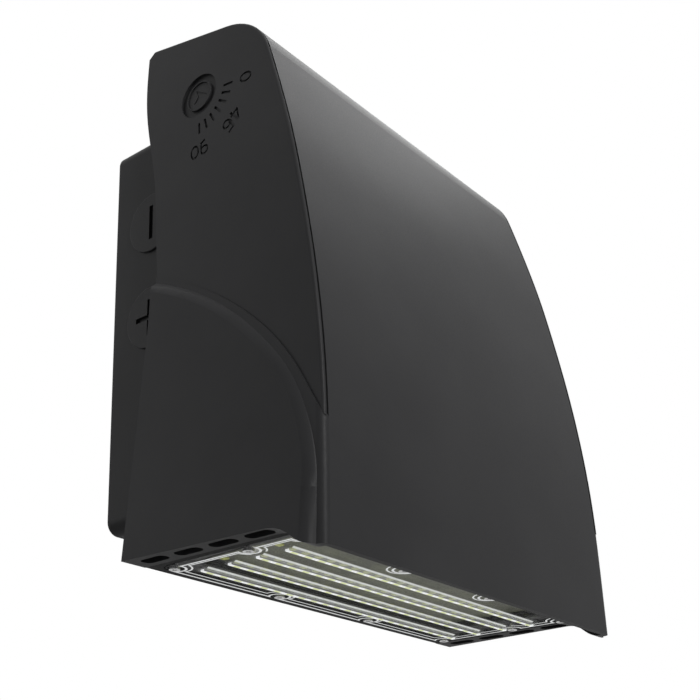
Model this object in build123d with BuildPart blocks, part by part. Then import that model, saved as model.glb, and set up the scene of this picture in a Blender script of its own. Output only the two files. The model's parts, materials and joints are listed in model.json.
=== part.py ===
from build123d import *
import math
import os

# Wall pack light with a tilting head.
# Millimetres. X runs along the wall, +Z is up, the wall is the plane Y = 0 and
# the light sticks out towards -Y. The origin is the middle of the box's back.

# ---- back box ----
box_depth = 52.0
box_height = 218.0
box_half_top = 107.5
box_half_bottom = 93.5
box_wall = 5.0
box_back_t = 4.0
box_corner_r = 7.0
box_edge_r = 1.5
lid_t = 2.5
lid_seal_t = 1.0
lid_step = 2.5
box_lid_screw_r = 2.0
box_top_z = box_height / 2
lid_seat_y = -box_depth + lid_t + lid_seal_t

# ---- gaps between the box and the head ----
head_gap = 1.5
cheek_gap = 3.5
swing_gap = 3.0
fit_gap = 0.3
hole_gap = 0.05

# ---- hinge ----
barrel_r = 18.1
pivot_rise = 2.6
rear_y = -box_depth
cover_back_y = rear_y - head_gap
pivot_y = cover_back_y - barrel_r
pivot_z = box_top_z + pivot_rise
pin_r = 8.0
pin_fit = 0.06
ear_r = 15.0
ear_t = 7.0
ear_outer = box_half_top - 3.0
ear_inner = ear_outer - ear_t
ear_mid_x = (ear_outer + ear_inner) / 2
washer_t = 1.0
washer_r = 14.0
cap_r = 8.9
cap_t = 1.3
cap_dish = 0.7
dial_r = 13.0
dial_depth = 1.5
stud_r = 5.0
nut_t = 5.0
lead_r = 2.2
lead_hole_r = 3.0

# ---- head ----
under_z = -138.0
skin = 3.2
inner_x = box_half_top + cheek_gap
cheek_x = inner_x + skin
cheek_edge_r = 1.5
seam_x = inner_x - 0.5
lower_x = cheek_x + 1.0
lower_edge_r = 3.8
lip_y = rear_y - 109.5
lip_z = -147.5
dip_y = rear_y - 81.0
panel_x = inner_x + 14.0
panel_slope_y = 0.0543
panel_slope_z = 0.0417
panel_crest_r = 6.0
well_count = 4
well_pitch = 20.5
well_long = 15.5
well_wide = 6.4
well_deep = 18.0
cheek_boss_x = ear_outer + washer_t + 0.1
groove_w = 1.2
groove_deep = 0.8
groove_in = 1.6

# ---- rear cover of the head, with its barrel round the hinge ----
cover_t = 2.5
cover_in_y = cover_back_y - cover_t
cover_half = ear_inner - 9.5
cover_low_half = inner_x - 2 * fit_gap
hinge_room_front_y = pivot_y - ear_r - 4.0
hinge_room_floor_z = pivot_z - 2 * ear_r - 0.5
hinge_room_top_z = pivot_z + 2 * ear_r - 0.5
barrel_wall_y = pivot_y + pivot_rise - swing_gap
top_end_y = barrel_wall_y + 0.5

# ---- light engine ----
flange_t = 2.4
gasket_t = 1.2
flange_z = under_z + 0.1
ledge_z = flange_z + flange_t + gasket_t
pocket_deep = 4.4
base_z = ledge_z + pocket_deep
base_top_z = base_z + 4.0
fin_top_z = base_top_z + 19.4
cover_bottom_z = base_top_z + fit_gap
tray_half = inner_x - fit_gap
tray_rear_y = rear_y - fit_gap
tray_front_y = rear_y - 102.0
row_first_y = rear_y - 22.3
row_pitch = 17.0
row_count = 4
chips_per_row = 22
chip_pitch = 8.8
chip = 3.0
chip_t = 0.7
board_t = 1.6
lens_half = tray_half - 3.9
lens_corner_r = 4.7
lens_rear_y = rear_y - 5.2
lens_front_y = rear_y - 93.5
pocket_half = lens_half - 9.3
pocket_rear_y = rear_y - 17.0
pocket_front_y = rear_y - 81.0
screw_x_outer = lens_half - 3.3
screw_x_inner = screw_x_outer / 3
screw_rear_y = rear_y - 11.2
screw_mid_y = rear_y - 57.0
screw_front_y = rear_y - 87.5
lens_screw_r = 1.5
lens_head_r = 2.6
lens_head_t = 1.5

# ---- conduit plugs ----
plug_y = 22.0 - box_depth
plug_z_upper = 54.5
plug_z_lower = -0.7
plug_flange_r = 17.0
plug_flange_t = 1.4
plug_thread_r = 13.3
plug_length = 9.0

# ---- posts and screws inside the head ----
post_r = 4.0
post_hole_r = 1.6
post_z = base_top_z + 3.9
post_top_z = post_z + 24.0
tray_screw_x = inner_x - 8.0
tray_screw_ys = (rear_y - 24.0, rear_y - 74.0)
cover_post_y = cover_in_y - 18.0
cover_screw_x = inner_x - 9.0
cover_screw_zs = (-90.0, -10.0, hinge_room_floor_z - 13.1)
back_rib_count = 6
back_rib_pitch = 30.0

# ---- tilt scale ----
tick_first = 8.3
tick_turn = 12.8
tick_count = 7
tick_r = 18.6
tick_long = 6.9
tick_w = 1.5
mark_deep = 0.9
digit_size = 1.12
digit_pitch = 7.0
stroke = 1.2

# ---- holes, seals and wiring in the back box ----
bolt_x = 150.0
bolt_z = 160.0
bolt_r = 3.0
entry_z = 30.0
entry_r = 11.0
grommet_r = 8.0
slot_pitch = 88.9
slot_length = 14.0
slot_r = 2.4
seal_margin = 5.0
seal_w = 5.0
seal_t = 2.0
earth_x = 55.0
earth_z = 39.0 - box_top_z
block_x = -30.0
block_z = -40.0
block_foot = 3.0
block_deep = 18.0
block_ways = (-12.0, 0.0, 12.0)
block_screws = (-18.8, 18.8)
lid_top_x = ear_inner - 5.4
lid_top_z = box_top_z - 16.0
lid_low_x = box_half_bottom - 9.5
lid_low_z = 12.0 - box_top_z
lid_screws = [(side * x, z) for x, z in ((lid_top_x, lid_top_z), (lid_low_x, lid_low_z)) for side in (-1, 1)]
plug_seal_out = 15.2
plug_seal_t = 0.8

# ---- fins, lens ribs, driver ----
fin_pitch = 11.0
fin_count = 16
fin_rear_y = rear_y - 8.0
fin_front_y = rear_y - 96.0
rib_r = 5.2
rib_wall = 1.5
rib_half = pocket_half - 0.5
pad_t = 4.0
driver_half = 72.0
driver_deep = 30.0
driver_high = 52.0
driver_z = -20.0
driver_screw_xs = (-driver_half - 7.0, driver_half + 7.0)
driver_back_y = cover_in_y - pad_t
driver_front_y = driver_back_y - driver_deep
driver_mid_y = (driver_back_y + driver_front_y) / 2
board_lead_x = 5.5 - pocket_half
board_lead_y = rear_y - 47.8

os.makedirs("parts", exist_ok=True)


def box_half(z):
    share = (z + box_height / 2) / box_height
    return box_half_bottom + (box_half_top - box_half_bottom) * share


# front curve of the head in the side view, from the lip up to the brow
front_curve = [
    (lip_y, lip_z),
    (rear_y - 108.7, -105.0),
    (rear_y - 107.0, -70.0),
    (rear_y - 103.2, -34.0),
    (rear_y - 97.9, 0.0),
    (rear_y - 92.1, 30.0),
    (rear_y - 85.5, 60.0),
    (rear_y - 79.4, 83.0),
    (rear_y - 73.6, 103.0),
    (rear_y - 67.9, 121.5),
]
front_top_angle = 72.0
top_angle = 13.0
brow_r = 41.0
front_dir = (math.cos(math.radians(front_top_angle)), math.sin(math.radians(front_top_angle)))
top_dir = (math.cos(math.radians(top_angle)), math.sin(math.radians(top_angle)))
top_rise = top_dir[1] / top_dir[0]
brow_end = (front_curve[-1][0] + brow_r * (front_dir[1] - top_dir[1]),
            front_curve[-1][1] + brow_r * (top_dir[0] - front_dir[0]))
top_rear_y = rear_y + 18.5
top_rear = (top_rear_y, brow_end[1] + (top_rear_y - brow_end[0]) * top_rise)
# rear edge of the cheeks, from the top down to the plane of the box's front
rear_curve = [(rear_y + 23.8, 148.0), (rear_y + 22.1, 121.0), (rear_y + 11.0, 71.2),
              (rear_y + 4.4, 20.0), (rear_y, -30.0)]


def front_inset(deep):
    # front curve and end of the brow, moved inwards
    return ([(y + deep * front_dir[1], z - deep * front_dir[0]) for y, z in front_curve],
            (brow_end[0] + deep * top_dir[1], brow_end[1] - deep * top_dir[0]))


def top_inside_z(y):
    return front_inset(skin)[1][1] + (y - front_inset(skin)[1][0]) * top_rise


barrel_top_z = top_inside_z(barrel_wall_y - cover_t) - fit_gap
# edge between the dial area and the lower side panel
arc_curve = [(rear_y + dy, z) for dy, z in (
    (11.0, 12.8), (-14.9, 1.2), (-37.1, -11.9), (-59.1, -28.6), (-75.6, -44.3),
    (-93.1, -67.0), (-104.6, -87.0), (-112.3, -100.6), (-118.0, -119.0))]
# foot of the raised lower side panel
foot_curve = [(rear_y + dy, z) for dy, z in (
    (10.1, 9.8), (-13.8, -0.4), (-36.3, -14.0), (-58.3, -31.4), (-74.9, -48.2),
    (-90.3, -68.2), (-99.0, -86.2), (-104.4, -104.2), (-106.0, -123.0))]
far_y = rear_y - 123.0
far_z = under_z - 22.0

# ---------------------------------------------------------------- head housing
with BuildPart() as profile_solid:
    with BuildSketch(Plane.YZ):
        with BuildLine():
            Line((rear_y, under_z), (dip_y, under_z))
            Spline((dip_y, under_z), (rear_y - 95.0, -142.6), (lip_y + 4, lip_z),
                   tangents=[(-1, 0), (-1, 0)])
            Line((lip_y + 4, lip_z), (lip_y, lip_z))
            Spline(*front_curve, tangents=[(0.02, 1), front_dir])
            JernArc(front_curve[-1], front_dir, brow_r, top_angle - front_top_angle)
            Line(brow_end, top_rear)
            Line(top_rear, (rear_curve[0][0], top_rear[1] - 4))
            Line((rear_curve[0][0], top_rear[1] - 4), rear_curve[0])
            Spline(*rear_curve, tangents=[(0, -1), (0, -1)])
            Line(rear_curve[-1], (rear_y, under_z))
        make_face()
    extrude(amount=140, both=True)

with BuildPart() as arc_cut:
    with BuildSketch(Plane.YZ):
        with BuildLine():
            Spline(*arc_curve)
            Line(arc_curve[-1], (far_y, arc_curve[-1][1]))
            Line((far_y, arc_curve[-1][1]), (far_y, far_z))
            Line((far_y, far_z), (arc_curve[0][0], far_z))
            Line((arc_curve[0][0], far_z), arc_curve[0])
        make_face()
    extrude(amount=lower_x, both=True)
    Box(2 * seam_x, 400, 400, mode=Mode.SUBTRACT)

with BuildPart() as lower_skin:
    add(arc_cut.part)
    add(profile_solid.part, mode=Mode.INTERSECT)
    fillet(lower_skin.edges().filter_by(lambda e: abs(abs(e.center().X) - lower_x) < 0.01
                                        and e.center().Y < lip_y + 4.5 and e.length > 20), lower_edge_r)

with BuildPart() as panel_right:
    for out, back, drop in ((inner_x, -1.6, -2.2), (panel_x + 2, 6.6, 9.0)):
        with BuildSketch(Plane.YZ.offset(out)):
            points = [(y + back, z - drop) for y, z in foot_curve]
            with BuildLine():
                Spline(*points)
                Line(points[-1], (points[-1][0], far_z))
                Line((points[-1][0], far_z), (rear_y + 12, far_z))
                Line((rear_y + 12, far_z), points[0])
            make_face()
    loft(ruled=True)
    add(profile_solid.part, mode=Mode.INTERSECT)
    split(bisect_by=Plane(origin=(panel_x, rear_y, under_z),
                          z_dir=(1, -panel_slope_y, panel_slope_z)), keep=Keep.BOTTOM)
    crest = panel_right.edges().filter_by(lambda e: e.center().X > lower_x + 1 and e.length > 25
                                          and e.center().Y < rear_y - 8 and e.center().Z > under_z + 8
                                          and e.bounding_box().size.Z > 20)
    fillet(crest, panel_crest_r)

# narrow groove beside each front edge, up over the brow
with BuildPart() as edge_grooves:
    with BuildSketch(Plane.YZ.offset(cheek_x - groove_in)):
        groove_line, groove_end = front_inset(groove_deep)
        with BuildLine():
            Spline(*groove_line, tangents=[(0.02, 1), front_dir])
            JernArc(groove_line[-1], front_dir, brow_r - groove_deep, top_angle - front_top_angle)
            Line(groove_end, (groove_end[0], 200))
            Line((groove_end[0], 200), (far_y, 200))
            Line((far_y, 200), (far_y, groove_line[0][1]))
            Line((far_y, groove_line[0][1]), groove_line[0])
        make_face()
    extrude(amount=-groove_w)
    mirror(about=Plane.YZ)

with BuildPart() as head_core:
    add(profile_solid.part)
    Box(2 * cheek_x, 400, 400, mode=Mode.INTERSECT)
    front_edges = head_core.edges().filter_by(lambda e: abs(abs(e.center().X) - cheek_x) < 0.01
                                              and e.center().Y < dip_y and e.length > 150)
    fillet(front_edges, cheek_edge_r)
    add(edge_grooves.part, mode=Mode.SUBTRACT)
    add(arc_cut.part, mode=Mode.SUBTRACT)


def cut_digit(letter, shift):
    # strokes of one number, its top pointing away from the hinge
    def at(right, up):
        return Locations((digit_size * up, -digit_size * right - shift))

    def bar(right, up, wide, high, turn=0):
        with at(right, up):
            Rectangle(digit_size * high, digit_size * wide, rotation=turn)

    def ring(right, up, wide, high):
        with at(right, up):
            Ellipse(digit_size * high / 2, digit_size * wide / 2)
            Ellipse(digit_size * high / 2 - stroke, digit_size * wide / 2 - stroke, mode=Mode.SUBTRACT)

    if letter == "0":
        ring(0, 0, 5.6, 7.6)
    if letter == "4":
        bar(1.2, 0, stroke, 8.0)
        bar(0, -1.6, 5.4, stroke)
        bar(-0.6, 1.2, stroke, 6.4, turn=-31)
    if letter == "5":
        ring(0, -1.5, 5.4, 5.2)
        bar(-2.0, -0.1, 1.8, 2.2)
        bar(0.2, 3.6, 4.6, stroke)
        bar(-1.6, 2.0, stroke, 3.6)
    if letter == "9":
        ring(0, 1.5, 5.4, 5.2)
        bar(2.1, -0.9, stroke, 5.0)
        bar(0.9, -3.4, 3.2, stroke, turn=20)


with BuildPart() as head_housing:
    add(head_core.part)
    add(lower_skin.part)
    add(panel_right.part)
    mirror(panel_right.part, about=Plane.YZ)
    # open cavity, from the back and from below
    inner_curve, inner_brow_end = front_inset(skin)
    with BuildSketch(Plane.YZ):
        with BuildLine():
            Spline(*inner_curve, tangents=[(0.02, 1), front_dir])
            JernArc(inner_curve[-1], front_dir, brow_r - skin, top_angle - front_top_angle)
            Line(inner_brow_end, (20, top_inside_z(20)))
            Line((20, top_inside_z(20)), (20, -180))
            Line((20, -180), (inner_curve[0][0], -180))
            Line((inner_curve[0][0], -180), inner_curve[0])
        make_face()
    extrude(amount=inner_x, both=True, mode=Mode.SUBTRACT)
    # the top plate stops short so that the box can swing past it
    with Locations((0, top_end_y + 50, 150)):
        Box(2 * inner_x, 100, 90, mode=Mode.SUBTRACT)
    # hinge bosses inside the cheeks, bores and the round dial recess
    for side in (-1, 1):
        with Locations(Location((side * (cheek_boss_x + inner_x + 0.4) / 2, pivot_y, pivot_z), (0, 90, 0))):
            Cylinder(washer_r + 1.5, inner_x + 0.4 - cheek_boss_x)
        with Locations(Location((side * cheek_x, pivot_y, pivot_z), (0, 90, 0))):
            Cylinder(dial_r, 2 * dial_depth, mode=Mode.SUBTRACT)
            Cylinder(pin_r + pin_fit, 40, mode=Mode.SUBTRACT)
    # oval wells in the underside of the thick side walls
    for side in (-1, 1):
        for step in range(well_count):
            well_y = rear_y - 14 - well_pitch * step
            well_x = side * (inner_x + panel_x - panel_slope_y * (rear_y - well_y)) / 2
            with BuildSketch(Plane.XY.offset(under_z - 1)):
                with Locations((well_x, well_y)):
                    SlotOverall(well_long, well_wide, rotation=90)
            extrude(amount=well_deep + 1, mode=Mode.SUBTRACT)
    # posts that the engine tray is screwed to
    for px in (-tray_screw_x, tray_screw_x):
        for py in tray_screw_ys:
            with Locations((px, py, (post_z + post_top_z) / 2)):
                Cylinder(post_r, post_top_z - post_z)
            web_len = inner_x - abs(px) + 1
            with Locations((math.copysign(abs(px) + web_len / 2, px), py, (post_z + post_top_z) / 2)):
                Box(web_len, 5, post_top_z - post_z)
            with Locations((px, py, post_z)):
                Cylinder(post_hole_r, 24, mode=Mode.SUBTRACT)
    # posts for the rear cover
    for px in (-cover_screw_x, cover_screw_x):
        for pz in cover_screw_zs:
            with Locations(Location((px, (cover_in_y + cover_post_y) / 2, pz), (90, 0, 0))):
                Cylinder(post_r, cover_in_y - cover_post_y)
            web_len = inner_x - abs(px) + 1
            with Locations((math.copysign(abs(px) + web_len / 2, px), (cover_in_y + cover_post_y) / 2, pz)):
                Box(web_len, cover_in_y - cover_post_y, 5)
            with Locations(Location((px, cover_in_y, pz), (90, 0, 0))):
                Cylinder(post_hole_r, 24, mode=Mode.SUBTRACT)
    # tilt scale cut into the left cheek: seven marks and three numbers
    with BuildSketch(Plane(origin=(-cheek_x, pivot_y, pivot_z), x_dir=(0, -1, 0), z_dir=(-1, 0, 0))):
        for step in range(tick_count):
            with PolarLocations(tick_r + tick_long / 2, 1, start_angle=-tick_first - tick_turn * step):
                Rectangle(tick_long, tick_w)
        for step, letters, radius in ((0, "0", 34.9), (3, "45", 38.0), (6, "90", 35.9)):
            with PolarLocations(radius, 1, start_angle=-tick_first - tick_turn * step):
                for place, letter in enumerate(letters):
                    cut_digit(letter, digit_pitch * (place - (len(letters) - 1) / 2))
    extrude(amount=-mark_deep, mode=Mode.SUBTRACT)
head_housing.part.label = "head_housing"
export_step(head_housing.part, "parts/head_housing.step")

# ---------------------------------------------------------------- wall box
def box_outline(margin):
    top = box_height / 2 - margin
    return [(-box_half(-top) + margin, -top), (box_half(-top) - margin, -top),
            (box_half(top) - margin, top), (-box_half(top) + margin, top)]


lean = (box_half_top - box_half_bottom) / box_height


def side_plane(side, z):
    return Plane(origin=(side * box_half(z), plug_y, z), x_dir=(0, 1, 0), z_dir=(side, 0, -lean))


lead_points = [(97.6, -28.0, 88.0), (ear_mid_x, pivot_y, pivot_z), (68.0, pivot_y, pivot_z)]


def lead_tool(radius):
    with BuildPart() as tool:
        for first, last in zip(lead_points[:-1], lead_points[1:]):
            span = Vector(*last) - Vector(*first)
            mid = (Vector(*last) + Vector(*first)) / 2
            with Locations(Plane(origin=mid, z_dir=span).location):
                Cylinder(radius, span.length)
        with Locations(lead_points[1]):
            Sphere(radius)
    return tool.part


with BuildPart() as wall_box:
    with BuildSketch(Plane.XZ):
        Polygon(*box_outline(0), align=None)
    extrude(amount=box_depth)
    fillet(wall_box.edges().filter_by(Axis.Y), box_corner_r)
    fillet(wall_box.faces().sort_by(Axis.Y)[-1].edges(), box_edge_r)
    with BuildSketch(Plane.XZ.offset(box_back_t)):
        Polygon(*box_outline(box_wall), align=None)
    extrude(amount=box_depth, mode=Mode.SUBTRACT)
    with BuildSketch(Plane.XZ.offset(box_depth - lid_t - lid_seal_t)):
        Polygon(*box_outline(lid_step), align=None)
    extrude(amount=20, mode=Mode.SUBTRACT)
    # solid corners for the lid screws and under the ears
    for side in (-1, 1):
        with Locations((side * (lid_top_x + 5), lid_seat_y + 7, lid_top_z + 3.5)):
            Box(16, 14, 18)
        with Locations((side * (lid_low_x + 1.5), lid_seat_y + 7, lid_low_z)):
            Box(12, 14, 18)
    # ears that carry the hinge
    for side in (-1, 1):
        with BuildSketch(Plane.YZ.offset(side * ear_mid_x)):
            with Locations((pivot_y, pivot_z)):
                Circle(ear_r)
            Polygon((pivot_y, pivot_z + ear_r), (pivot_y - 6, pivot_z - 13), (-box_depth, box_top_z - 17),
                    (14 - box_depth, box_top_z - 19), (14 - box_depth, box_top_z - 2),
                    (6 - box_depth, box_top_z + 1.5), align=None)
        extrude(amount=(ear_outer - ear_inner) / 2, both=True)
        with Locations(Location((side * ear_mid_x, pivot_y, pivot_z), (0, 90, 0))):
            Cylinder(stud_r + hole_gap, 20, mode=Mode.SUBTRACT)
    add(lead_tool(lead_hole_r), mode=Mode.SUBTRACT)
    # conduit entries, closed by plugs
    for side in (-1, 1):
        for z in (plug_z_upper, plug_z_lower):
            with Locations(side_plane(side, z).location):
                Cylinder(plug_thread_r + hole_gap, 24, mode=Mode.SUBTRACT)
    # holes in the back: corner screws, junction box slots, wire entry, earth screw
    with BuildSketch(Plane.XZ):
        with GridLocations(bolt_x, bolt_z, 2, 2):
            Circle(bolt_r)
        with Locations((-slot_pitch / 2, entry_z), (slot_pitch / 2, entry_z)):
            SlotOverall(slot_length, 2 * slot_r)
        with Locations((0, entry_z)):
            Circle(entry_r)
    extrude(amount=box_back_t + 1, mode=Mode.SUBTRACT)
    with BuildSketch(Plane.XZ):
        Polygon(*box_outline(seal_margin), align=None)
        Polygon(*box_outline(seal_margin + seal_w), align=None, mode=Mode.SUBTRACT)
    extrude(amount=seal_t, mode=Mode.SUBTRACT)
    with Locations(Location((earth_x, -box_back_t - 2.5, earth_z), (90, 0, 0))):
        Cylinder(5, 5)
        Cylinder(2.05, 5.01, mode=Mode.SUBTRACT)
    for x, z in lid_screws:
        with Locations(Location((x, -box_depth + lid_t + lid_seal_t + 6, z), (90, 0, 0))):
            Cylinder(box_lid_screw_r + hole_gap, 14, mode=Mode.SUBTRACT)
    for x in block_screws:
        with Locations(Location((block_x + x, -box_back_t - block_foot / 2, block_z), (90, 0, 0))):
            Cylinder(4, block_foot)
            Cylinder(1.55, block_foot + 0.01, mode=Mode.SUBTRACT)
wall_box.part.label = "wall_box"
export_step(wall_box.part, "parts/wall_box.step")

with BuildPart() as wall_gasket:
    with BuildSketch(Plane.XZ):
        Polygon(*box_outline(seal_margin), align=None)
        Polygon(*box_outline(seal_margin + seal_w), align=None, mode=Mode.SUBTRACT)
    extrude(amount=seal_t)
wall_gasket.part.label = "wall_gasket"
export_step(wall_gasket.part, "parts/wall_gasket.step")

with BuildPart() as wire_grommet:
    with Locations(Location((0, -box_back_t / 2, entry_z), (90, 0, 0))):
        Cylinder(entry_r - 0.05, box_back_t)
    with Locations(Location((0, -box_back_t - 1.0, entry_z), (90, 0, 0))):
        Cylinder(entry_r + 3, 2.0)
    with Locations(Location((0, 0, entry_z), (90, 0, 0))):
        Cylinder(grommet_r, 40, mode=Mode.SUBTRACT)
wire_grommet.part.label = "wire_grommet"
export_step(wire_grommet.part, "parts/wire_grommet.step")

with BuildPart() as box_cover_gasket:
    with BuildSketch(Plane.XZ.offset(box_depth - lid_t - lid_seal_t)):
        Polygon(*box_outline(lid_step + 0.2), align=None)
        Polygon(*box_outline(box_wall), align=None, mode=Mode.SUBTRACT)
    extrude(amount=lid_seal_t)
    for side in (-1, 1):
        with Locations((side * (ear_mid_x + 3), -box_depth, box_top_z - 13)):
            Box(ear_t + 7, 20, 30, mode=Mode.SUBTRACT)
box_cover_gasket.part.label = "box_cover_gasket"
export_step(box_cover_gasket.part, "parts/box_cover_gasket.step")

with BuildPart() as box_cover:
    with BuildSketch(Plane.XZ.offset(box_depth - lid_t)):
        Polygon(*box_outline(lid_step + 0.2), align=None)
    extrude(amount=lid_t)
    fillet(box_cover.edges().filter_by(Axis.Y), 1.0)
    for side in (-1, 1):
        with Locations((side * (ear_mid_x + 3), -box_depth, box_top_z - 13)):
            Box(ear_t + 7, 20, 30, mode=Mode.SUBTRACT)
    # two long stiffening dents and the screw seats
    with BuildSketch(Plane.XZ.offset(box_depth)):
        with Locations((0, box_height / 5), (0, -box_height / 5)):
            SlotOverall(120, 14)
    extrude(amount=-1.0, mode=Mode.SUBTRACT)
    for x, z in lid_screws:
        with Locations(Location((x, -box_depth + lid_t / 2, z), (90, 0, 0))):
            Cylinder(box_lid_screw_r + 0.15, lid_t + 1, mode=Mode.SUBTRACT)
        with Locations(Location((x, -box_depth + 0.95, z), (90, 0, 0))):
            Cone(box_lid_screw_r + 0.15, 4.05, 1.9, mode=Mode.SUBTRACT)
box_cover.part.label = "box_cover"
export_step(box_cover.part, "parts/box_cover.step")

with BuildPart() as box_cover_screws:
    for x, z in lid_screws:
        with Locations(Location((x, -box_depth + 1.0, z), (90, 0, 0))):
            Cone(box_lid_screw_r, 3.9, 1.9)
        with Locations(Location((x, -box_depth + 7.5, z), (90, 0, 0))):
            Cylinder(box_lid_screw_r, 11.5)
        with Locations((x, -box_depth, z)):
            Box(4.6, 1.6, 0.9, mode=Mode.SUBTRACT)
            Box(0.9, 1.6, 4.6, mode=Mode.SUBTRACT)
box_cover_screws.part.label = "box_cover_screws"
export_step(box_cover_screws.part, "parts/box_cover_screws.step")

# ---------------------------------------------------------------- conduit plugs
for name, side, z in (("plug_upper_left", -1, plug_z_upper), ("plug_lower_left", -1, plug_z_lower),
                      ("plug_upper_right", 1, plug_z_upper), ("plug_lower_right", 1, plug_z_lower)):
    with BuildPart() as plug:
        with Locations(side_plane(side, z).offset(plug_flange_t / 2).location):
            Cylinder(plug_flange_r, plug_flange_t)
        fillet(plug.edges().filter_by(GeomType.CIRCLE).group_by(Axis.X)[-1 if side > 0 else 0], 0.5)
        with Locations(side_plane(side, z).offset(-plug_length / 2).location):
            Cylinder(plug_thread_r, plug_length)
        with Locations(side_plane(side, z).offset(-plug_length + 2.5).location):
            Cylinder(plug_thread_r - 2.5, 8, mode=Mode.SUBTRACT)
        with Locations(side_plane(side, z).location):
            Cylinder(plug_seal_out, 2 * plug_seal_t, mode=Mode.SUBTRACT)
            Cylinder(plug_thread_r, 2 * plug_seal_t)
        with Locations(side_plane(side, z).offset(plug_flange_t).location):
            Box(2.8, 20.0, 3.6, mode=Mode.SUBTRACT)
            if z == plug_z_lower:
                Box(20.0, 2.8, 3.6, mode=Mode.SUBTRACT)
    plug.part.label = name
    export_step(plug.part, "parts/" + name + ".step")

with BuildPart() as plug_seals:
    for side in (-1, 1):
        for z in (plug_z_upper, plug_z_lower):
            with Locations(side_plane(side, z).offset(plug_seal_t / 2).location):
                Cylinder(plug_seal_out, plug_seal_t)
                Cylinder(plug_thread_r, plug_seal_t, mode=Mode.SUBTRACT)
plug_seals.part.label = "plug_seals"
export_step(plug_seals.part, "parts/plug_seals.step")

# ---------------------------------------------------------------- hinge hardware
cap_in_x = cheek_x - dial_depth + 0.1
nut_x = ear_inner - nut_t / 2
for name, side in (("pivot_pin_left", -1), ("pivot_pin_right", 1)):
    with BuildPart() as pin:
        with Locations(Location((side * (ear_outer + cap_in_x) / 2, pivot_y, pivot_z), (0, 90, 0))):
            Cylinder(pin_r, cap_in_x - ear_outer)
        with Locations(Location((side * (ear_outer + nut_x - nut_t / 2) / 2, pivot_y, pivot_z), (0, 90, 0))):
            Cylinder(stud_r, ear_outer - nut_x + nut_t / 2)
        if side > 0:
            add(lead_tool(lead_hole_r), mode=Mode.SUBTRACT)
    pin.part.label = name
    export_step(pin.part, "parts/" + name + ".step")

with BuildPart() as pivot_nuts:
    for side in (-1, 1):
        with BuildSketch(Plane(origin=(side * ear_inner, pivot_y, pivot_z), z_dir=(-side, 0, 0))):
            RegularPolygon(9.0, 6)
            Circle(stud_r + hole_gap, mode=Mode.SUBTRACT)
        extrude(amount=nut_t)
pivot_nuts.part.label = "pivot_nuts"
export_step(pivot_nuts.part, "parts/pivot_nuts.step")

with BuildPart() as friction_washers:
    for side in (-1, 1):
        with Locations(Location((side * (ear_outer + washer_t / 2), pivot_y, pivot_z), (0, 90, 0))):
            Cylinder(washer_r, washer_t)
            Cylinder(pin_r + hole_gap, washer_t, mode=Mode.SUBTRACT)
friction_washers.part.label = "friction_washers"
export_step(friction_washers.part, "parts/friction_washers.step")

for name, side in (("pivot_cap_left", -1), ("pivot_cap_right", 1)):
    with BuildPart() as cap:
        with Locations(Location((side * (cap_in_x + cap_t / 2), pivot_y, pivot_z), (0, 90, 0))):
            Cylinder(cap_r, cap_t)
        fillet(cap.edges().filter_by(GeomType.CIRCLE).group_by(Axis.X)[-1 if side > 0 else 0], 0.2)
        with Locations(Location((side * (cap_in_x + cap_t), pivot_y, pivot_z), (0, 90, 0))):
            Cylinder(cap_r - 0.6, 2 * cap_dish, mode=Mode.SUBTRACT)
        if side < 0:
            with BuildSketch(Plane(origin=(-cap_in_x - cap_t + cap_dish, pivot_y, pivot_z),
                                   x_dir=(0, -1, 0), z_dir=(-1, 0, 0))):
                turn = math.radians(-tick_first)
                arrow = [(5.9, 0), (-3.8, 4.4), (-1.4, 0), (-3.8, -4.4)]
                Polygon(*[(a * math.cos(turn) - b * math.sin(turn),
                           a * math.sin(turn) + b * math.cos(turn)) for a, b in arrow], align=None)
            extrude(amount=-0.35, mode=Mode.SUBTRACT)
    cap.part.label = name
    export_step(cap.part, "parts/" + name + ".step")

# ---------------------------------------------------------------- wiring in the box
block_back_y = -box_back_t - block_foot
with BuildPart() as terminal_block:
    with Locations((block_x, block_back_y - block_deep / 2, block_z)):
        Box(46, block_deep, 20)
    fillet(terminal_block.edges().filter_by(Axis.Y), 1.0)
    for x in block_ways:
        with Locations(Location((block_x + x, block_back_y - block_deep + 3, block_z), (90, 0, 0))):
            Cylinder(3.2, 8, mode=Mode.SUBTRACT)
        for z in (-9, 9):
            with Locations((block_x + x, block_back_y - 6.5, block_z + z)):
                Cylinder(2.4, 8, mode=Mode.SUBTRACT)
    for x in block_screws:
        with Locations(Location((block_x + x, block_back_y - block_deep / 2, block_z), (90, 0, 0))):
            Cylinder(1.65, block_deep + 12, mode=Mode.SUBTRACT)
terminal_block.part.label = "terminal_block"
export_step(terminal_block.part, "parts/terminal_block.step")

with BuildPart() as terminal_screws:
    for x in block_ways:
        with Locations(Location((block_x + x, block_back_y - block_deep + 5.5, block_z), (90, 0, 0))):
            Cylinder(2.9, 3)
        with Locations((block_x + x, block_back_y - block_deep + 4, block_z)):
            Box(0.8, 1.2, 5, mode=Mode.SUBTRACT)
    for x in block_screws:
        with Locations(Location((block_x + x, block_back_y - block_deep - 1, block_z), (90, 0, 0))):
            Cylinder(2.8, 2)
        with Locations(Location((block_x + x, block_back_y - block_deep / 2 + 0.5, block_z), (90, 0, 0))):
            Cylinder(1.5, block_deep + 1)
terminal_screws.part.label = "terminal_screws"
export_step(terminal_screws.part, "parts/terminal_screws.step")

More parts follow.
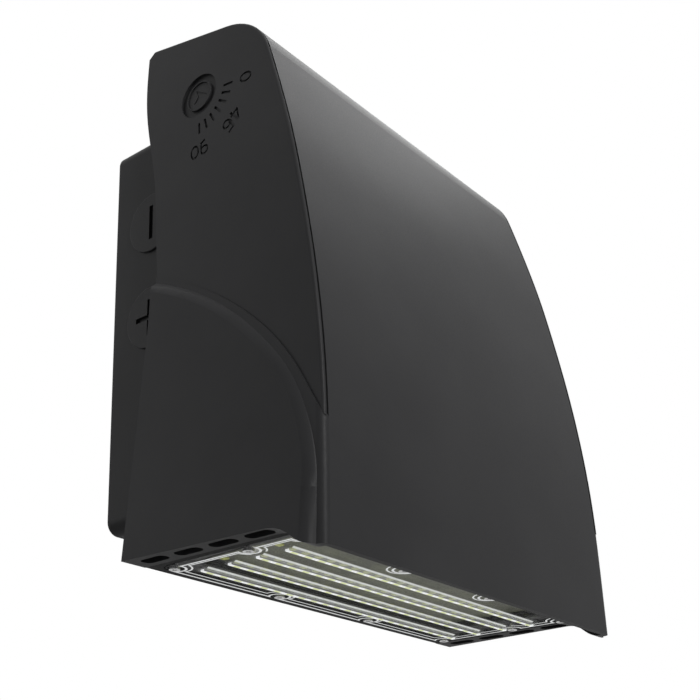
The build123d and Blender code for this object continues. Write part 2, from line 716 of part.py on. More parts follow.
with BuildPart() as ground_screw:
    with Locations(Location((earth_x, -box_back_t - 6.5, earth_z), (90, 0, 0))):
        Cylinder(4.2, 3)
    with Locations(Location((earth_x, -box_back_t - 2.75, earth_z), (90, 0, 0))):
        Cylinder(2.0, 4.5)
    with Locations((earth_x, -box_back_t - 8, earth_z)):
        Box(6, 1.6, 1, mode=Mode.SUBTRACT)
        Box(1, 1.6, 6, mode=Mode.SUBTRACT)
ground_screw.part.label = "ground_screw"
export_step(ground_screw.part, "parts/ground_screw.step")

with BuildPart() as supply_lead:
    add(lead_tool(lead_r))
    with BuildLine() as route:
        FilletPolyline(lead_points[0], (92.0, -21.0, 76.0), (78.0, -21.0, 40.0),
                       (block_x + 30.0, -21.0, block_z + 40), (block_x + block_ways[1], -13.5, block_z + 22),
                       (block_x + block_ways[1], -13.5, block_z + 5.4), radius=3)
    with BuildSketch(Plane(origin=route.line @ 0, z_dir=route.line % 0)):
        Circle(lead_r)
    sweep(path=route.line)
    with Locations(lead_points[0]):
        Sphere(lead_r)
supply_lead.part.label = "supply_lead"
export_step(supply_lead.part, "parts/supply_lead.step")

# ---------------------------------------------------------------- rear cover of the head
hinge_ring = barrel_r - cover_t
outer_turn = math.degrees(math.acos((barrel_wall_y - pivot_y) / barrel_r))
inner_turn = math.degrees(math.acos((barrel_wall_y - cover_t - pivot_y) / hinge_ring))


def round_hinge(radius, turn):
    return (pivot_y + radius * math.cos(math.radians(turn)), pivot_z + radius * math.sin(math.radians(turn)))


with BuildPart() as rear_cover:
    # wide flat part below the hinge pockets
    with Locations((0, (cover_back_y + cover_in_y) / 2, (cover_bottom_z + hinge_room_floor_z) / 2)):
        Box(2 * cover_low_half, cover_t, hinge_room_floor_z - cover_bottom_z)
    # middle part with the barrel that clears the swinging box
    with BuildSketch(Plane.YZ):
        with BuildLine():
            Line((cover_back_y, hinge_room_floor_z), (cover_back_y, pivot_z))
            CenterArc((pivot_y, pivot_z), barrel_r, 0, outer_turn)
            Line(round_hinge(barrel_r, outer_turn), (barrel_wall_y, barrel_top_z))
            Line((barrel_wall_y, barrel_top_z), (barrel_wall_y - cover_t, barrel_top_z))
            Line((barrel_wall_y - cover_t, barrel_top_z), round_hinge(hinge_ring, inner_turn))
            CenterArc((pivot_y, pivot_z), hinge_ring, 0, inner_turn)
            Line((cover_in_y, pivot_z), (cover_in_y, hinge_room_floor_z))
            Line((cover_in_y, hinge_room_floor_z), (cover_back_y, hinge_room_floor_z))
        make_face()
    extrude(amount=cover_half, both=True)
    # pockets for the ears of the box
    for side in (-1, 1):
        mid_x = side * (cover_half - cover_t + cover_low_half) / 2
        with Locations((mid_x, (hinge_room_front_y - cover_t + cover_back_y) / 2,
                        (hinge_room_floor_z - cover_t + hinge_room_top_z) / 2)):
            Box(cover_low_half - cover_half + cover_t, cover_back_y - hinge_room_front_y + cover_t,
                hinge_room_top_z - hinge_room_floor_z + cover_t)
        with Locations((side * (cover_half + 20), (hinge_room_front_y + 60) / 2,
                        (hinge_room_floor_z + 200) / 2)):
            Box(40, 60 - hinge_room_front_y, 200 - hinge_room_floor_z, mode=Mode.SUBTRACT)
    # nothing stays behind the barrel, where the box swings past
    with BuildSketch(Plane.YZ):
        with BuildLine():
            Line((cover_back_y, pivot_z), (60, pivot_z))
            Line((60, pivot_z), (60, 200))
            Line((60, 200), (barrel_wall_y, 200))
            Line((barrel_wall_y, 200), round_hinge(barrel_r, outer_turn))
            CenterArc((pivot_y, pivot_z), barrel_r, 0, outer_turn)
        make_face()
    extrude(amount=cover_half + 1, both=True, mode=Mode.SUBTRACT)
    with Locations(Location((cover_half, pivot_y, pivot_z), (0, 90, 0))):
        Cylinder(lead_hole_r, 12, mode=Mode.SUBTRACT)
    for px in (-cover_screw_x, cover_screw_x):
        for pz in cover_screw_zs:
            with Locations(Location((px, cover_back_y, pz), (90, 0, 0))):
                Cylinder(post_hole_r + 0.1, 12, mode=Mode.SUBTRACT)
                Cylinder(3.3, 2 * 1.3, mode=Mode.SUBTRACT)
    # pads that the driver is screwed to
    for px in driver_screw_xs:
        with Locations(Location((px, cover_in_y - pad_t / 2, driver_z), (90, 0, 0))):
            Cylinder(5, pad_t)
            Cylinder(1.55, pad_t + 0.01, mode=Mode.SUBTRACT)
    # shallow ribs across the back
    for step in range(back_rib_count):
        with Locations((0, cover_in_y - 1, hinge_room_floor_z - 26.1 - back_rib_pitch * step)):
            Box(2 * cover_half, 2, 2)
rear_cover.part.label = "rear_cover"
export_step(rear_cover.part, "parts/rear_cover.step")

with BuildPart() as rear_cover_screws:
    for px in (-cover_screw_x, cover_screw_x):
        for pz in cover_screw_zs:
            with Locations(Location((px, cover_back_y - 0.65, pz), (90, 0, 0))):
                Cylinder(3.0, 1.3)
            with Locations(Location((px, cover_back_y - 5.5, pz), (90, 0, 0))):
                Cylinder(post_hole_r - 0.05, 9)
            with Locations((px, cover_back_y, pz)):
                Box(3.6, 1.4, 0.8, mode=Mode.SUBTRACT)
                Box(0.8, 1.4, 3.6, mode=Mode.SUBTRACT)
rear_cover_screws.part.label = "rear_cover_screws"
export_step(rear_cover_screws.part, "parts/rear_cover_screws.step")

# ---------------------------------------------------------------- light engine
lens_screws_at = [(x, y) for y in (screw_rear_y, screw_front_y)
                  for x in (-screw_x_outer, -screw_x_inner, screw_x_inner, screw_x_outer)]
lens_screws_at += [(-screw_x_outer, screw_mid_y), (screw_x_outer, screw_mid_y)]
lens_mid_y = (lens_rear_y + lens_front_y) / 2
lens_len = lens_rear_y - lens_front_y
pocket_mid_y = (pocket_rear_y + pocket_front_y) / 2
pocket_len = pocket_rear_y - pocket_front_y
tray_mid_y = (tray_rear_y + tray_front_y) / 2
tray_len = tray_rear_y - tray_front_y
with BuildPart() as engine_tray:
    with Locations((0, tray_mid_y, (flange_z + base_top_z) / 2)):
        Box(2 * tray_half, tray_len, base_top_z - flange_z)
    with BuildSketch(Plane.XY.offset(flange_z)):
        with Locations((0, lens_mid_y)):
            RectangleRounded(2 * (lens_half + fit_gap), lens_len + 2 * fit_gap, lens_corner_r + fit_gap)
    extrude(amount=ledge_z - flange_z, mode=Mode.SUBTRACT)
    with BuildSketch(Plane.XY.offset(ledge_z)):
        with Locations((0, pocket_mid_y)):
            RectangleRounded(2 * pocket_half, pocket_len, 4)
    extrude(amount=base_z - ledge_z, mode=Mode.SUBTRACT)
    # channel along the back and front strips
    with Locations((0, (tray_front_y + lens_front_y) / 2, flange_z)):
        Box(2 * tray_half - 12, 3.0, 6, mode=Mode.SUBTRACT)
    # fins
    with Locations((0, (fin_rear_y + fin_front_y) / 2, (base_top_z + fin_top_z) / 2)):
        with GridLocations(fin_pitch, 0, fin_count, 1):
            Box(1.8, fin_rear_y - fin_front_y, fin_top_z - base_top_z)
    for px in (-tray_screw_x, tray_screw_x):
        for py in tray_screw_ys:
            with Locations((px, py, (base_top_z + post_z) / 2)):
                Cylinder(post_r, post_z - base_top_z)
            with Locations((px, py, post_z)):
                Cylinder(post_hole_r + 0.1, 40, mode=Mode.SUBTRACT)
            with Locations((px, py, ledge_z)):
                Cylinder(3.3, 2 * 3.0, mode=Mode.SUBTRACT)
    for x, y in lens_screws_at:
        with Locations((x, y, ledge_z)):
            Cylinder(lens_screw_r + hole_gap, 2 * 6.6, mode=Mode.SUBTRACT)
    with Locations((board_lead_x, board_lead_y, base_z)):
        Cylinder(lead_hole_r, 20, mode=Mode.SUBTRACT)
engine_tray.part.label = "engine_tray"
export_step(engine_tray.part, "parts/engine_tray.step")

with BuildPart() as tray_screws:
    for px in (-tray_screw_x, tray_screw_x):
        for py in tray_screw_ys:
            with Locations((px, py, ledge_z + 1.9)):
                Cylinder(2.9, 2.2)
            with Locations((px, py, (ledge_z + 3.0 + post_z + 9) / 2)):
                Cylinder(post_hole_r - 0.05, post_z + 9 - ledge_z - 3.0)
tray_screws.part.label = "tray_screws"
export_step(tray_screws.part, "parts/tray_screws.step")

with BuildPart() as led_board:
    with BuildSketch(Plane.XY.offset(base_z - board_t)):
        with Locations((0, pocket_mid_y)):
            RectangleRounded(2 * pocket_half - 1.0, pocket_len - 1.0, 3.5)
        with Locations((board_lead_x, board_lead_y)):
            Circle(lead_hole_r, mode=Mode.SUBTRACT)
    extrude(amount=board_t)
led_board.part.label = "led_board"
export_step(led_board.part, "parts/led_board.step")

with BuildPart() as led_chips:
    for row in range(row_count):
        with Locations((0, row_first_y - row * row_pitch, base_z - board_t - chip_t / 2)):
            with GridLocations(chip_pitch, 0, chips_per_row, 1):
                Box(chip, chip, chip_t)
led_chips.part.label = "led_chips"
export_step(led_chips.part, "parts/led_chips.step")

with BuildPart() as lens_gasket:
    with BuildSketch(Plane.XY.offset(ledge_z - gasket_t)):
        with Locations((0, lens_mid_y)):
            RectangleRounded(2 * lens_half, lens_len, lens_corner_r)
        with Locations((0, pocket_mid_y)):
            RectangleRounded(2 * pocket_half + 2, pocket_len + 2, 4.5, mode=Mode.SUBTRACT)
        with Locations(*lens_screws_at):
            Circle(lens_screw_r + 0.3, mode=Mode.SUBTRACT)
    extrude(amount=gasket_t)
lens_gasket.part.label = "lens_gasket"
export_step(lens_gasket.part, "parts/lens_gasket.step")

with BuildPart() as lens:
    with BuildSketch(Plane.XY.offset(flange_z)):
        with Locations((0, lens_mid_y)):
            RectangleRounded(2 * lens_half, lens_len, lens_corner_r)
    extrude(amount=flange_t)
    # raised rims that step inwards round every screw
    for inset, width, height in ((1.6, 1.2, 0.9), (4.4, 0.9, 0.5)):
        with BuildSketch(Plane.XY.offset(flange_z)):
            with Locations((0, lens_mid_y)):
                RectangleRounded(2 * (lens_half - inset), lens_len - 2 * inset, 4)
            with Locations(*lens_screws_at):
                Circle(lens_head_r + inset + 0.4, mode=Mode.SUBTRACT)
            with Locations((0, lens_mid_y)):
                with BuildSketch(mode=Mode.PRIVATE) as inner_rim:
                    RectangleRounded(2 * (lens_half - inset - width), lens_len - 2 * (inset + width), 3.4)
                    with Locations(*[(x, y - lens_mid_y) for x, y in lens_screws_at]):
                        Circle(lens_head_r + inset + width + 0.4, mode=Mode.SUBTRACT)
                add(inner_rim.sketch, mode=Mode.SUBTRACT)
        extrude(amount=-height)
    # one long hollow rib under each row of diodes
    for row in range(row_count):
        with BuildSketch(Plane.YZ.offset(-rib_half)):
            with Locations((row_first_y - row * row_pitch, flange_z + flange_t)):
                Circle(rib_r)
                Rectangle(3 * rib_r, 3 * rib_r, align=(Align.CENTER, Align.MIN), mode=Mode.SUBTRACT)
        extrude(amount=2 * rib_half)
        with BuildSketch(Plane.YZ.offset(rib_wall - rib_half)):
            with Locations((row_first_y - row * row_pitch, flange_z + flange_t)):
                Circle(rib_r - rib_wall)
        extrude(amount=2 * (rib_half - rib_wall), mode=Mode.SUBTRACT)
    for x, y in lens_screws_at:
        with Locations((x, y, flange_z)):
            Cylinder(lens_screw_r + 0.2, 20, mode=Mode.SUBTRACT)
lens.part.label = "lens"
export_step(lens.part, "parts/lens.step")

with BuildPart() as lens_screws:
    for x, y in lens_screws_at:
        with Locations((x, y, flange_z - lens_head_t / 2)):
            Cylinder(lens_head_r, lens_head_t)
        with Locations((x, y, (flange_z + ledge_z + 6) / 2)):
            Cylinder(lens_screw_r, ledge_z + 6 - flange_z)
        with Locations((x, y, flange_z - lens_head_t)):
            Box(2.8, 0.7, 1.4, mode=Mode.SUBTRACT)
            Box(0.7, 2.8, 1.4, mode=Mode.SUBTRACT)
lens_screws.part.label = "lens_screws"
export_step(lens_screws.part, "parts/lens_screws.step")

with BuildPart() as board_connector:
    with Locations((board_lead_x, board_lead_y, base_z - board_t - 1.3)):
        Box(9, 7, 2.6)
board_connector.part.label = "board_connector"
export_step(board_connector.part, "parts/board_connector.step")

# ---------------------------------------------------------------- driver and its leads
with BuildPart() as driver:
    with Locations((0, driver_mid_y, driver_z)):
        Box(2 * driver_half, driver_deep, driver_high)
    fillet(driver.edges().filter_by(Axis.X), 2.0)
    for side in (-1, 1):
        with Locations((side * (driver_half + 6), driver_back_y - 1, driver_z)):
            Box(14, 2, 22)
        with Locations(Location((side * driver_screw_xs[1], driver_back_y - 1, driver_z), (90, 0, 0))):
            Cylinder(1.7, 10, mode=Mode.SUBTRACT)
    for z in (-12, 0, 12):
        with Locations((0, driver_front_y, driver_z + z)):
            Box(2 * driver_half - 24, 1.2, 3, mode=Mode.SUBTRACT)
driver.part.label = "driver"
export_step(driver.part, "parts/driver.step")

with BuildPart() as driver_screws:
    for px in driver_screw_xs:
        with Locations(Location((px, driver_back_y - 3, driver_z), (90, 0, 0))):
            Cylinder(2.8, 2)
        with Locations(Location((px, driver_back_y + 0.8, driver_z), (90, 0, 0))):
            Cylinder(1.5, 5.6)
driver_screws.part.label = "driver_screws"
export_step(driver_screws.part, "parts/driver_screws.step")

with BuildPart() as driver_lead:
    with Locations(Location((62, pivot_y, pivot_z), (0, 90, 0))):
        Cylinder(4.2, 20)
        with Locations((0, 0, 2)):
            Cylinder(lead_r + 0.4, 20, mode=Mode.SUBTRACT)
    with BuildLine() as route:
        FilletPolyline((52.5, pivot_y, pivot_z), (30, pivot_y, pivot_z), (14, pivot_y - 14, 84),
                       (driver_half - 20, driver_mid_y, 40),
                       (driver_half - 20, driver_mid_y, driver_z + driver_high / 2), radius=6)
    with BuildSketch(Plane(origin=route.line @ 0, z_dir=route.line % 0)):
        Circle(lead_r)
    sweep(path=route.line)
driver_lead.part.label = "driver_lead"
export_step(driver_lead.part, "parts/driver_lead.step")

with BuildPart() as board_lead:
    with BuildLine() as route:
        FilletPolyline((-driver_half, driver_mid_y, driver_z - 16),
                       (-driver_half - 8, driver_mid_y, driver_z - 16),
                       (board_lead_x, driver_mid_y - 6, driver_z - 16),
                       (board_lead_x, board_lead_y, driver_z - 48),
                       (board_lead_x, board_lead_y, base_z - board_t), radius=3)
    with BuildSketch(Plane(origin=route.line @ 0, z_dir=route.line % 0)):
        Circle(lead_r)
    sweep(path=route.line)
board_lead.part.label = "board_lead"
export_step(board_lead.part, "parts/board_lead.step")
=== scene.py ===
import bpy
import json
from mathutils import Matrix, Vector

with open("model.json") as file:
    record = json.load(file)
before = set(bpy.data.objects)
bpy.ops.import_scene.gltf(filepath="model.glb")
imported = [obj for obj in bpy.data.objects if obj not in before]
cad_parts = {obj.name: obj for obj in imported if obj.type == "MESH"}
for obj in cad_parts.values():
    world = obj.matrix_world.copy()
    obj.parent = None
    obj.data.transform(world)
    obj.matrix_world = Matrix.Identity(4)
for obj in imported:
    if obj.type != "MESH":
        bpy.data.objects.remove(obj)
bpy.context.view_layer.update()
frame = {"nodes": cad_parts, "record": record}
nodes = frame["nodes"]
scene = bpy.context.scene

# ---------------------------------------------------------------- named sizes
# All lengths are in metres, in the frame of the CAD model.

# The rows of diodes lie along X. Their places are those of the CAD model.
first_row_y = -0.0743
row_pitch = 0.017
diode_pitch = 0.0088

# The flat tops of the lens rims lie between these heights. The ribs reach lower.
rim_top_z = -0.13798
rim_low_z = -0.13900
rib_crest_z = min(vertex.co.z for vertex in nodes["lens"].data.vertices)

# Sizes of the painted light on a rib: the painted highlight line along its crest, the
# yellow-green dashes painted in that line, one for each diode, and the painted sheen on
# the flank, which fades out away from the crest.
crest_depth = 0.001
crest_half = 0.0011
dash_half_width = 0.8 * crest_half
dash_half_length = 0.0022
flank_reach = 0.0050

# The floor lies low enough to leave room for a view from below.
floor_z = -0.95
floor_half = 6.0

# The background that the eye, metal and glass see is white. The light that the
# world gives to the object is weaker.
world_light = 0.13
floor_white_share = 0.4

# Camera, fitted to the photograph. The focal length is given in its pixels.
camera_place = Vector((-0.4500, -0.4507, -0.2750))
camera_right = Vector((0.6374, -0.7705, -0.0047))
camera_down = Vector((0.3278, 0.2766, -0.9034))
camera_near = 0.01
photo_focal_px = 1169.6
photo_width_px = 700
sensor_mm = 36.0

# Sockets of a colour Mix node, which also has sockets for other kinds of data
MIX_FACTOR, MIX_LOW, MIX_HIGH, MIX_RESULT = 0, 6, 7, 2


# --------------------------------------------------------------- node helpers
def new_material(name):
    mat = bpy.data.materials.new(name)
    mat.use_nodes = True
    tree = mat.node_tree
    tree.nodes.clear()
    out = tree.nodes.new("ShaderNodeOutputMaterial")
    bsdf = tree.nodes.new("ShaderNodeBsdfPrincipled")
    tree.links.new(bsdf.outputs["BSDF"], out.inputs["Surface"])
    return mat, tree, bsdf


def add(tree, kind, **values):
    """Adds a node. A value goes to the input of that name, or else to the setting."""
    node = tree.nodes.new(kind)
    for key, value in values.items():
        if key in node.inputs:
            node.inputs[key].default_value = value
        else:
            setattr(node, key, value)
    return node


def compute(tree, operation, first, second):
    """Adds a Math node. The second side is a socket or a number."""
    node = add(tree, "ShaderNodeMath", operation=operation)
    tree.links.new(first, node.inputs[0])
    if isinstance(second, float):
        node.inputs[1].default_value = second
    else:
        tree.links.new(second, node.inputs[1])
    return node.outputs[0]


def ramp(tree, source, low, high):
    """Turns the middle of a noise's range into a change from one colour to another."""
    node = tree.nodes.new("ShaderNodeValToRGB")
    for element, position, color in zip(node.color_ramp.elements, (0.35, 0.65), (low, high)):
        element.position = position
        element.color = (*color, 1)
    tree.links.new(source, node.inputs["Fac"])
    return node.outputs["Color"]


def span(tree, source, low, high, from_low=0.3, from_high=0.7):
    """Maps a range of values to another and clamps it there."""
    node = tree.nodes.new("ShaderNodeMapRange")
    node.inputs["From Min"].default_value = from_low
    node.inputs["From Max"].default_value = from_high
    node.inputs["To Min"].default_value = low
    node.inputs["To Max"].default_value = high
    tree.links.new(source, node.inputs["Value"])
    return node.outputs["Result"]


def blend(tree, factor, low, high):
    """Mixes two colours. The low one is a socket or a colour."""
    node = add(tree, "ShaderNodeMix", data_type="RGBA")
    tree.links.new(factor, node.inputs[MIX_FACTOR])
    if isinstance(low, tuple):
        node.inputs[MIX_LOW].default_value = (*low, 1)
    else:
        tree.links.new(low, node.inputs[MIX_LOW])
    node.inputs[MIX_HIGH].default_value = (*high, 1)
    return node.outputs[MIX_RESULT]


def noise(tree, coords, scale, detail=2.0):
    node = add(tree, "ShaderNodeTexNoise", Scale=scale, Detail=detail, Roughness=0.55)
    tree.links.new(coords, node.inputs["Vector"])
    return node.outputs["Fac"]


def object_coords(tree):
    return tree.nodes.new("ShaderNodeTexCoord").outputs["Object"]


def parts_of(tree, vector):
    """Splits a vector into its X, Y and Z."""
    node = tree.nodes.new("ShaderNodeSeparateXYZ")
    tree.links.new(vector, node.inputs["Vector"])
    return node.outputs


def off_row(tree, y):
    """Distance from the nearest row of diodes, from 0 to half a pitch."""
    return compute(tree, "PINGPONG", compute(tree, "ADD", y, -first_row_y), row_pitch / 2)


def shown_to_eye(tree):
    """Is 1 for what the camera sees, straight or in metal and glass, and 0 for light."""
    path = tree.nodes.new("ShaderNodeLightPath")
    seen = compute(tree, "MAXIMUM", path.outputs["Is Camera Ray"], path.outputs["Is Glossy Ray"])
    return compute(tree, "MAXIMUM", seen, path.outputs["Is Transmission Ray"])


# ------------------------------------------------------------------ materials
def surface(name, low, high, rough, grain, patch=18.0, bump=0.05, metallic=0.0, shine=0.5):
    """Wide patches of two close colours, with a fine grain in roughness and relief."""
    mat, tree, bsdf = new_material(name)
    coords = object_coords(tree)
    wide = noise(tree, coords, patch, detail=3.0)
    fine = noise(tree, coords, grain)
    tree.links.new(ramp(tree, wide, low, high), bsdf.inputs["Base Color"])
    tree.links.new(span(tree, fine, *rough), bsdf.inputs["Roughness"])
    relief = add(tree, "ShaderNodeBump", Strength=bump, Distance=0.0002)
    tree.links.new(fine, relief.inputs["Height"])
    tree.links.new(relief.outputs["Normal"], bsdf.inputs["Normal"])
    bsdf.inputs["Metallic"].default_value = metallic
    bsdf.inputs["Specular IOR Level"].default_value = shine
    return mat


def board_material():
    """Grey olive board, with painted shade near the rows of diodes and a faint painted glow."""
    mat, tree, bsdf = new_material("board")
    coords = object_coords(tree)
    patches = ramp(tree, noise(tree, coords, 45.0, detail=3.0),
                   (0.055, 0.058, 0.034), (0.12, 0.126, 0.074))
    off = off_row(tree, parts_of(tree, coords)["Y"])
    # painted shade: darker towards each row of diodes, for the dark line beside each rib's bright
    # line
    near = span(tree, off, 0.55, 0.0, from_low=0.0005, from_high=row_pitch / 2)
    color = blend(tree, near, patches, (0.03, 0.031, 0.022))
    tree.links.new(color, bsdf.inputs["Base Color"])
    # painted glow: the board gives off a little light in its own colour, which brightens it in the
    # shade of the head
    tree.links.new(color, bsdf.inputs["Emission Color"])
    tree.links.new(span(tree, noise(tree, coords, 800.0), 0.35, 0.5), bsdf.inputs["Roughness"])
    bsdf.inputs["Emission Strength"].default_value = 0.2
    return mat


def diode_material():
    """Yellow green, with a painted glow; the diodes are not lit."""
    mat, tree, bsdf = new_material("diode")
    grain = noise(tree, object_coords(tree), 400.0)
    color = ramp(tree, grain, (0.50, 0.54, 0.12), (0.66, 0.68, 0.22))
    tree.links.new(color, bsdf.inputs["Base Color"])
    # painted glow in the diode's own colour
    tree.links.new(color, bsdf.inputs["Emission Color"])
    tree.links.new(span(tree, grain, 0.25, 0.4), bsdf.inputs["Roughness"])
    bsdf.inputs["Emission Strength"].default_value = 0.15
    return mat


def lens_material():
    """Clear, with frosted rims and painted light: a bright line painted on the rims, and on each
    rib a painted highlight along the crest, painted diode dashes in it and a painted sheen on the
    flanks.
    """
    mat, tree, bsdf = new_material("clear_lens")
    coord = tree.nodes.new("ShaderNodeTexCoord")
    fine = noise(tree, coord.outputs["Object"], 300.0)
    tree.links.new(ramp(tree, fine, (0.80, 0.82, 0.82), (0.88, 0.89, 0.89)),
                   bsdf.inputs["Base Color"])
    tree.links.new(span(tree, fine, 0.10, 0.18), bsdf.inputs["Roughness"])
    bsdf.inputs["IOR"].default_value = 1.45
    place = parts_of(tree, coord.outputs["Object"])
    facing = parts_of(tree, coord.outputs["Normal"])

    # the flat tops of the rims, frosted, with a painted bright line on them
    below = compute(tree, "LESS_THAN", place["Z"], rim_top_z)
    above = compute(tree, "GREATER_THAN", place["Z"], rim_low_z)
    flat = compute(tree, "LESS_THAN", facing["Z"], -0.8)
    rim_frost_and_highlight = compute(tree, "MULTIPLY", compute(tree, "MULTIPLY", below, above), flat)

    # the painted highlight line along the crest of each rib, and the painted sheen on the flanks
    # beside it
    off = off_row(tree, place["Y"])
    low = compute(tree, "LESS_THAN", place["Z"], rib_crest_z + crest_depth)
    near = compute(tree, "LESS_THAN", off, crest_half)
    crest_highlight = compute(tree, "MULTIPLY", low, near)
    rib = compute(tree, "LESS_THAN", place["Z"], rim_low_z)
    fading = span(tree, off, 0.30, 0.0, from_low=crest_half, from_high=flank_reach)
    flank_sheen = compute(tree, "MULTIPLY", rib, fading)

    # a yellow-green dash painted in the highlight line for each diode, half a pitch to either side
    # of the middle, a painted image of the diode seen through the rib
    along = compute(tree, "PINGPONG", place["X"], diode_pitch / 2)
    at_diode = compute(tree, "GREATER_THAN", along, diode_pitch / 2 - dash_half_length)
    inside = compute(tree, "LESS_THAN", off, dash_half_width)
    painted_dash = compute(tree, "MULTIPLY", crest_highlight, compute(tree, "MULTIPLY", at_diode, inside))
    # painted colours: white for the highlight lines, yellow-green for the diode dashes
    tree.links.new(blend(tree, painted_dash, (0.95, 0.97, 0.97), (0.50, 0.58, 0.05)),
                   bsdf.inputs["Emission Color"])

    # how solid each place looks, and how strongly each painted highlight glows
    frost_and_painted_lines = compute(tree, "MAXIMUM", compute(tree, "MAXIMUM", rim_frost_and_highlight, crest_highlight), flank_sheen)
    tree.links.new(span(tree, frost_and_painted_lines, 0.05, 0.92, 0.0, 1.0), bsdf.inputs["Alpha"])
    painted_glow = compute(tree, "MAXIMUM", compute(tree, "MULTIPLY", rim_frost_and_highlight, 0.40),
                   compute(tree, "MULTIPLY", crest_highlight, 0.65))
    painted_glow = compute(tree, "MAXIMUM", painted_glow, compute(tree, "MULTIPLY", flank_sheen, 0.35))
    tree.links.new(painted_glow, bsdf.inputs["Emission Strength"])
    return mat


materials = {
    "black_paint": surface("black_paint", (0.020, 0.020, 0.021), (0.024, 0.024, 0.025),
                           rough=(0.42, 0.50), grain=1500, bump=0.08, shine=0.10),
    "black_tray": surface("black_tray", (0.006, 0.006, 0.006), (0.009, 0.009, 0.009),
                          rough=(0.40, 0.52), grain=1200, bump=0.10, shine=0.03),
    "plug_black": surface("plug_black", (0.017, 0.017, 0.018), (0.021, 0.021, 0.022),
                          rough=(0.42, 0.52), grain=1300, bump=0.10, shine=0.12),
    "black_rubber": surface("black_rubber", (0.010, 0.010, 0.010), (0.018, 0.018, 0.018),
                            rough=(0.6, 0.8), grain=1100, bump=0.2),
    "grey_rubber": surface("grey_rubber", (0.085, 0.085, 0.085), (0.12, 0.12, 0.12),
                           rough=(0.6, 0.8), grain=900, bump=0.2),
    "zinc_steel": surface("zinc_steel", (0.48, 0.48, 0.46), (0.58, 0.58, 0.55),
                          rough=(0.25, 0.42), grain=700, patch=220, bump=0.06, metallic=1.0),
    "stainless": surface("stainless", (0.84, 0.84, 0.84), (0.92, 0.92, 0.92),
                         rough=(0.14, 0.26), grain=900, patch=260, bump=0.06, metallic=0.85),
    "earth_green": surface("earth_green", (0.015, 0.20, 0.05), (0.03, 0.30, 0.08),
                           rough=(0.3, 0.45), grain=600, patch=200, metallic=0.6),
    "nylon": surface("nylon", (0.70, 0.69, 0.62), (0.78, 0.77, 0.71), rough=(0.3, 0.45), grain=500),
    "block": surface("block", (0.74, 0.73, 0.68), (0.82, 0.81, 0.76), rough=(0.3, 0.45), grain=500),
    "driver_case": surface("driver_case", (0.55, 0.55, 0.55), (0.63, 0.63, 0.63),
                           rough=(0.3, 0.45), grain=900, patch=25),
    "sheath": surface("sheath", (0.016, 0.016, 0.016), (0.024, 0.024, 0.024),
                      rough=(0.4, 0.6), grain=600),
    "board": board_material(),
    "diode": diode_material(),
    "clear_lens": lens_material(),
}

slots = {part["node"]: part["material_slot"] for part in frame["record"]["subparts"]}
for name, obj in nodes.items():
    obj.data.materials.clear()
    obj.data.materials.append(materials[slots[name]])


# ---------------------------------------------------------------------- stage
def floor_material():
    """Pale, with some white for the eye alone, so that it keeps the object's shadow."""
    mat, tree, bsdf = new_material("floor_pale")
    bsdf.inputs["Base Color"].default_value = (0.66, 0.66, 0.66, 1)
    bsdf.inputs["Roughness"].default_value = 0.9
    white = add(tree, "ShaderNodeEmission", Color=(1, 1, 1, 1), Strength=1.0)
    mix = tree.nodes.new("ShaderNodeMixShader")
    share = compute(tree, "MULTIPLY", shown_to_eye(tree), floor_white_share)
    tree.links.new(share, mix.inputs["Fac"])
    tree.links.new(bsdf.outputs["BSDF"], mix.inputs[1])
    tree.links.new(white.outputs["Emission"], mix.inputs[2])
    tree.links.new(mix.outputs["Shader"], tree.nodes["Material Output"].inputs["Surface"])
    return mat


def make_floor():
    corners = [(x * floor_half, y * floor_half, floor_z)
               for x, y in ((-1, -1), (1, -1), (1, 1), (-1, 1))]
    mesh = bpy.data.meshes.new("floor")
    mesh.from_pydata(corners, [], [(0, 1, 2, 3)])
    mesh.materials.append(floor_material())
    floor = bpy.data.objects.new("floor", mesh)
    scene.collection.objects.link(floor)
    return floor


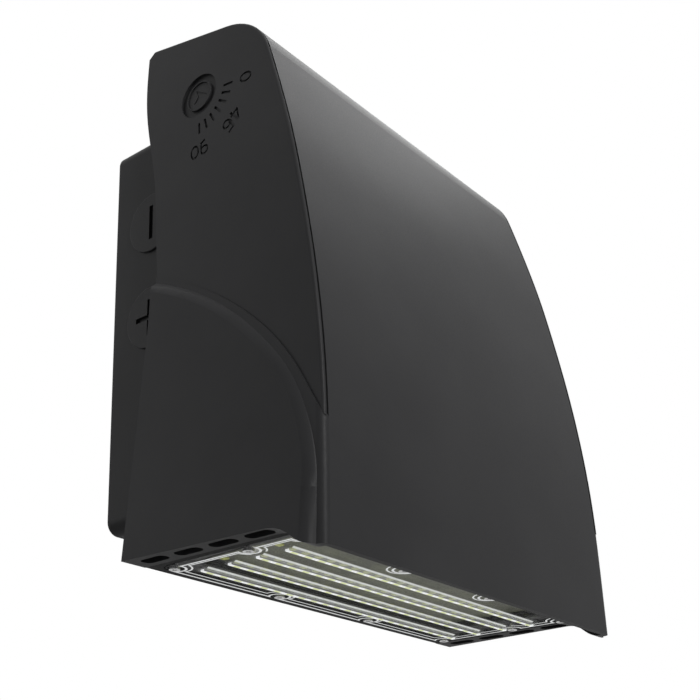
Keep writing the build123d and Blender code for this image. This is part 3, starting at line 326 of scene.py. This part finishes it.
def make_world():
    world = bpy.data.worlds.new("studio")
    world.use_nodes = True
    tree = world.node_tree
    tree.nodes.clear()
    out = tree.nodes.new("ShaderNodeOutputWorld")
    lit = add(tree, "ShaderNodeBackground", Color=(1, 1, 1, 1), Strength=world_light)
    seen = add(tree, "ShaderNodeBackground", Color=(1, 1, 1, 1), Strength=1.0)
    mix = tree.nodes.new("ShaderNodeMixShader")
    tree.links.new(shown_to_eye(tree), mix.inputs["Fac"])
    tree.links.new(lit.outputs["Background"], mix.inputs[1])
    tree.links.new(seen.outputs["Background"], mix.inputs[2])
    tree.links.new(mix.outputs["Shader"], out.inputs["Surface"])
    return world


def add_lamp(name, place, aim, size, watts):
    data = bpy.data.lights.new(name, "AREA")
    data.shape = "RECTANGLE"
    data.size, data.size_y = size
    data.energy = watts
    lamp = bpy.data.objects.new(name, data)
    scene.collection.objects.link(lamp)
    lamp.location = place
    lamp.rotation_euler = (Vector(aim) - Vector(place)).to_track_quat("-Z", "Y").to_euler()


make_floor()
scene.world = make_world()
add_lamp("top_light", place=(0.80, -0.05, 1.25), aim=(0, -0.1, 0.05), size=(0.7, 0.6), watts=4.5)
add_lamp("left_light", place=(-1.3, 1.1, 0.25), aim=(0, -0.08, -0.05), size=(1.0, 0.8), watts=2.5)
add_lamp("front_light", place=(-0.50, -1.50, 0.65), aim=(0, -0.1, 0), size=(0.5, 0.5), watts=19)
add_lamp("low_light", place=(0.3, -1.4, -0.36), aim=(0, -0.1, -0.1), size=(1.4, 0.5), watts=0.3)


# --------------------------------------------------------------------- camera
def add_camera():
    """Makes the camera's three axes square to each other and sets it in its place."""
    ahead = camera_right.cross(camera_down).normalized()
    up = -ahead.cross(camera_right).normalized()
    turn = Matrix((camera_right.normalized(), up, -ahead)).transposed()
    data = bpy.data.cameras.new("camera")
    data.sensor_width = sensor_mm
    data.lens = photo_focal_px / photo_width_px * sensor_mm
    data.clip_start = camera_near
    camera = bpy.data.objects.new("camera", data)
    scene.collection.objects.link(camera)
    camera.matrix_world = Matrix.Translation(camera_place) @ turn.to_4x4()
    return camera


scene.camera = add_camera()
scene.view_settings.view_transform = "Standard"
